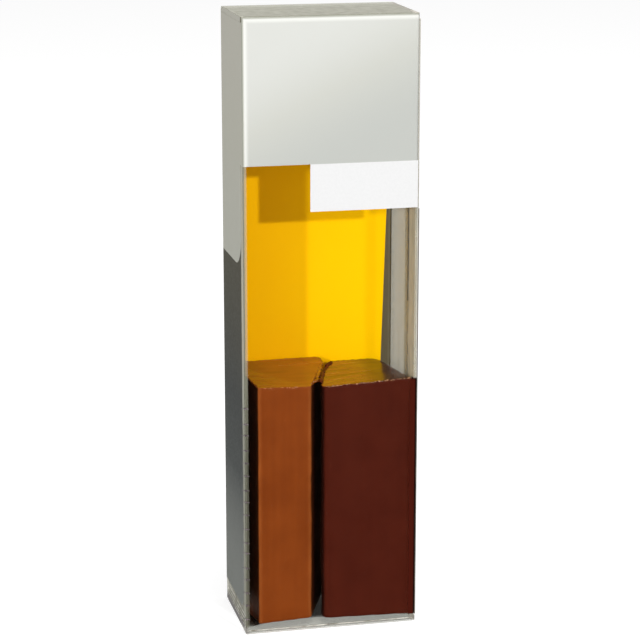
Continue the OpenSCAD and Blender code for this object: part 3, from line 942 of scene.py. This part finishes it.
scored = worn_pet(
    "scored_pet", (0.5, 0.5, 0.5), [(0.3, "#332B2F"), (0.7, "#7A6E72")], roughness=0.5, shine=0.05
)
pressed = worn_pet(
    "pressed_pet", (2, 2, 0.6), [(0.35, "#6B6152"), (0.6, "#DEDACF")], roughness=0.3, shine=0.1
)
cut_pet = worn_pet(
    "cut_pet_edge", (0.6, 0.6, 3), [(0.3, "#2B2622"), (0.75, "#665E54")], roughness=0.4, shadow=False
)
print("marks:", scored.name, pressed.name, cut_pet.name)

# %% Nicks
NICKS = 17
NICK_PITCH = 2.65 * MM
NICK_START = 3.2 * MM
NICK_SLANT = math.radians(18)
NICK_FROM_FRONT = 0.35 * MM
NICK_WIDTH = 0.16 * MM
CORNER_NICK = Vector((0.3, 0.2, 0.34)) * MM
FRONT_NICK = Vector((0.6, 0.03, 0.13)) * MM

bm = bmesh.new()
slant = Matrix.Rotation(-NICK_SLANT, 4, "X")
tilt = Matrix.Rotation(NICK_SLANT, 4, "Y")
for i in range(NICKS):
    height = NICK_START + (i + chance.uniform(-0.12, 0.12)) * NICK_PITCH
    length = chance.uniform(2.4, 3.2) * MM
    drop = math.sin(NICK_SLANT) * length / 2
    on_side = Vector((left, front + NICK_FROM_FRONT + length / 2, height - drop))
    add_bar(bm, on_side, Vector((MARK_THICKNESS, length, NICK_WIDTH)), slant)
    add_bar(bm, Vector((left + 0.15 * MM, front + 0.08 * MM, height)), CORNER_NICK)
    add_bar(bm, Vector((left + 0.5 * MM, front, height)), FRONT_NICK, tilt)
nicks = link_piece("fold_nicks", bm, [scored])
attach(nicks, "sleeve")
print("nicks:", NICKS)

# %% Seam edge
SEAM_EDGE = 0.2 * MM
SEAM_LOW = 1.5 * MM
SEAM_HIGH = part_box("colour_label")[0].z - 0.2 * MM

bm = bmesh.new()
on_seam = Vector((BOX_HIGH.x - SEAM_EDGE / 2, front, (SEAM_LOW + SEAM_HIGH) / 2))
add_bar(bm, on_seam, Vector((SEAM_EDGE, MARK_THICKNESS, SEAM_HIGH - SEAM_LOW)))
seam_edge = link_piece("seam_cut_edge", bm, [cut_pet])
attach(seam_edge, "sleeve")
print("seam edge:", round((SEAM_HIGH - SEAM_LOW) / MM, 1), "mm")

# %% Pressed lines at the floor
PRESSED_ON_FRONT = 0.75 * MM
PRESSED_ON_SIDE = (1.3 * MM, 1.9 * MM, 2.7 * MM, 3.6 * MM)
PRESSED_WIDTH = 0.13 * MM
PRESSED_SHARE_OF_FRONT = 0.965
CLEAR_OF_FOLDS = 1.5 * MM

bm = bmesh.new()
side_length = BOX_HIGH.y - front - CLEAR_OF_FOLDS
front_length = (BOX_HIGH.x - BOX_LOW.x) * PRESSED_SHARE_OF_FRONT
for height in PRESSED_ON_SIDE:
    add_bar(bm, Vector((left, 0, height)), Vector((MARK_THICKNESS, side_length, PRESSED_WIDTH)))
on_front = Vector((0, front, PRESSED_ON_FRONT))
add_bar(bm, on_front, Vector((front_length, MARK_THICKNESS, PRESSED_WIDTH)))
pressed_lines = link_piece("pressed_lines", bm, [pressed])
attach(pressed_lines, "sleeve")
print("pressed lines:", len(PRESSED_ON_SIDE) + 1)

# %% [markdown]
# ## Print and sheet round the folds
# The print of the back runs round its folds: grey outside, and inside the brown coat, darkened as
# painted shade. The CAD fields stop at the folds, so thin bars carry them on, and each face of a bar
# gets the ink that it shows. The lids' side edges are turned over a little, which closes the slit at
# the dust flaps.

# %% Print round the back folds
INK_THICKNESS = 0.02 * MM
BLEED = 0.3 * MM
BLEEDS = (
    ("pale_bleed", pale_ink, "pale_ink", "back_pale_field"),
    ("dark_bleed", dark_ink, "dark_ink", "back_dark_field"),
)

# Brown undercoat for the bars, darkened as painted shade.
brown_coat_and_shade, add, where = new_material("brown_uv_ink_with_painted_shade")
mottle = add("TexNoise", add("Mapping", where, Scale=patches(1.5, 1.5, 6)), Scale=1.0)
coat = add(
    "BsdfPrincipled",
    Base_Color=add("ValToRGB", mottle, stops=[(0.3, "#726854"), (0.7, "#827763")]),
    Roughness=SATIN,
    Specular_IOR_Level=0.1
)
add("OutputMaterial", coat)
for name, ink, slot, field in BLEEDS:
    low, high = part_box(field)
    fold_width = BOX_HIGH.x - high.x
    middle_z, tall = (low.z + high.z) / 2, high.z - low.z
    bm = bmesh.new()
    for side in (-1, 1):
        on_back = Vector((side * (BOX_HIGH.x - fold_width / 2), high.y - INK_THICKNESS, middle_z))
        add_bar(bm, on_back, Vector((fold_width, INK_THICKNESS, tall)))
        on_side = Vector((side * (BOX_HIGH.x - INK_THICKNESS), high.y - BLEED / 2, middle_z))
        add_bar(bm, on_side, Vector((INK_THICKNESS, BLEED, tall)))
    bleed = link_piece(name, bm, [brown_coat_and_shade, ink])
    for polygon in bleed.data.polygons:
        sideways = math.copysign(polygon.normal.x, polygon.center.x * polygon.normal.x)
        polygon.material_index = int(polygon.normal.y + sideways > 0.5)
    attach(bleed, "sleeve")
print("print carried round both back folds:", len(BLEEDS), "inks")

# %% Turned edges
TURN_THICKNESS = 0.06 * MM
TURN_SHARE_OF_LENGTH = 0.97
TURN_SHARE_OF_SLIT = 0.94
left_low, left_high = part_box("left_panel")
TURNED = (
    ("top_lid", left_high.z, pale_ink),
    ("bottom_lid", left_low.z, clear_pet),
)
for lid, panel_edge, left_finish in TURNED:
    low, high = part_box(lid)
    outer_face = high.z if lid == "top_lid" else low.z
    length = (high.y - low.y) * TURN_SHARE_OF_LENGTH
    size = Vector((TURN_THICKNESS, length, abs(outer_face - panel_edge) * TURN_SHARE_OF_SLIT))
    middle_y, middle_z = (low.y + high.y) / 2, (panel_edge + outer_face) / 2
    bm = bmesh.new()
    for side in (-1, 1):
        add_bar(bm, Vector((side * (BOX_HIGH.x - TURN_THICKNESS / 2), middle_y, middle_z)), size)
    turned = link_piece(lid + "_turned_edges", bm, [clear_pet, left_finish])
    for polygon in turned.data.polygons:
        polygon.material_index = int(polygon.center.x < 0)
    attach(turned, lid)
print("lids with turned edges:", len(TURNED))

# %% [markdown]
# ## Seam
# The glue ends in a dark upright line on the right side, which is broken lower down. The dark stick
# stands right against the glue flap, and soft wax rubs off on what it touches, so the flap carries
# a thin brown film there, with a ragged upper edge. The film also paints in the dark stick seen
# through the flap, a painted reflection. It is a row of narrow bars of uneven height.

# %% Glue edge
LINE_WIDTH = 0.2 * MM
UNBROKEN_FROM = 64 * MM
LINE_BELOW_TOP = 4 * MM
DASHES = 4
DASH = 4 * MM
flap_low, flap_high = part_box("glue_flap")


def add_glue_line(bm, start, end, width):
    """Adds a stretch of the dark line along the edge of the glue."""
    middle = Vector((flap_low.x - width / 2, GLUED_TO, (start + end) / 2))
    add_bar(bm, middle, Vector((width, width, end - start)))


bm = bmesh.new()
add_glue_line(bm, UNBROKEN_FROM, flap_high.z - LINE_BELOW_TOP, LINE_WIDTH)
for i in range(DASHES):
    end = UNBROKEN_FROM - i * DASH - chance.uniform(0.3, 0.8) * MM
    add_glue_line(bm, end - chance.uniform(0.35, 0.75) * DASH, end, LINE_WIDTH / 2)
glue_edge = link_piece("glue_flap_edge", bm, [cut_pet])
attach(glue_edge, "sleeve")
print("glue edge faces:", len(glue_edge.data.polygons))

# %% Wax film
FILM = 0.03 * MM
FILM_DEPTH = 1.4 * MM
FILM_STEPS = 24
FILM_RAGGED = 0.8 * MM

# Brown wax film, which also stands in for the dark stick seen through the flap: painted reflection.
film_top = DARK_CORNERS[1].z
film_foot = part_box("dark_wax_stick")[0].z
bm = bmesh.new()
for i in range(FILM_STEPS):
    y = flap_low.y + (i + 0.5) / FILM_STEPS * FILM_DEPTH
    top = film_top - FILM_RAGGED * abs(noise.noise(Vector((i / 2.3, 0, 0))))
    middle = Vector((flap_low.x - FILM / 2, y, (film_foot + top) / 2))
    add_bar(bm, middle, Vector((FILM, FILM_DEPTH / FILM_STEPS, top - film_foot)))
film = link_piece("seam_wax_film", bm, [dark_wax])
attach(film, "sleeve")
print("film faces:", len(film.data.polygons))

# %% [markdown]
# ## Floor, world and lamps
# The pack stands on a white floor in plain studio light. Two small soft lamps stand in front, one
# to the right and one to the left, as the shadows on the spatula show. A wide lamp above lights the
# lid, the cut tops of the wax and the back. The floor and the world are white where the eye sees
# them, also through the sheet or mirrored in it, and only give a plain level of light otherwise.

# %% Floor
FLOOR_GLOW = 0.68
FLOOR_DROP = 0.1 * MM
FLOOR_HALF = 6


def seen_by_eye(add):
    """1 for rays that show the background to the eye, and 0 for rays that only carry its light."""
    path = add("LightPath").outputs
    through = add("Math", path["Is Camera Ray"], path["Is Transmission Ray"], operation="MAXIMUM")
    return add("Math", through, path["Is Glossy Ray"], operation="MAXIMUM")


floor_paint, add, _ = new_material("white_studio_floor")
lit = add("BsdfDiffuse", "#C4C4C4")
glow = add("Math", seen_by_eye(add), FLOOR_GLOW, operation="MULTIPLY")
shining = add("Emission", Strength=glow)
add("OutputMaterial", add("AddShader", lit, shining))

bm = bmesh.new()
bmesh.ops.create_grid(bm, x_segments=1, y_segments=1, size=FLOOR_HALF)
bmesh.ops.translate(bm, vec=(0, 0, -FLOOR_DROP), verts=bm.verts)
floor = link_piece("floor", bm, [floor_paint])
print("floor:", 2 * FLOOR_HALF, "m wide")

# %% World
WORLD_LIGHT = 0.4

world = bpy.data.worlds.new("studio")
bpy.context.scene.world = world
world.use_nodes = True
world.node_tree.nodes.clear()
add = partial(add_node, world.node_tree)
strength = add("MapRange", seen_by_eye(add), 0.0, 1.0, WORLD_LIGHT, 1.0, **SMOOTH)
add("OutputWorld", add("Background", Color="#FFFFFF", Strength=strength))
print("world light:", WORLD_LIGHT)

# %% Lamps
TARGET = Vector((0, 0, 60)) * MM


def lamp(name, azimuth, elevation, distance, size, level):
    """A round soft lamp that lights a white surface facing it to the given level."""
    around, above = math.radians(azimuth), math.radians(elevation)
    toward = Vector(
        (math.sin(around) * math.cos(above), -math.cos(around) * math.cos(above), math.sin(above))
    )
    data = bpy.data.lights.new(name, "AREA")
    data.shape = "DISK"
    data.size = size
    data.energy = level * math.pi ** 2 * distance ** 2
    made = bpy.data.objects.new(name, data)
    made.location = TARGET + toward * distance
    made.rotation_euler = toward.to_track_quat("Z", "Y").to_euler()
    bpy.context.scene.collection.objects.link(made)
    print(name, "energy:", round(data.energy, 2), "W")


lamp("right_key", azimuth=19.1, elevation=16.9, distance=1.2, size=0.05, level=0.52)
lamp("left_key", azimuth=-41.2, elevation=12, distance=1.2, size=0.05, level=0.4)
lamp("top_fill", azimuth=10, elevation=75, distance=1.2, size=0.6, level=0.4)

# %% [markdown]
# ## Finish
# A look through this box crosses up to a dozen clear faces, so Cycles may pass that many before it
# gives up. The last line keeps colours as written, with the plain view transform.

# %% Finish
bpy.context.scene.cycles.transparent_max_bounces = 32
bpy.context.scene.view_settings.view_transform = "Standard"
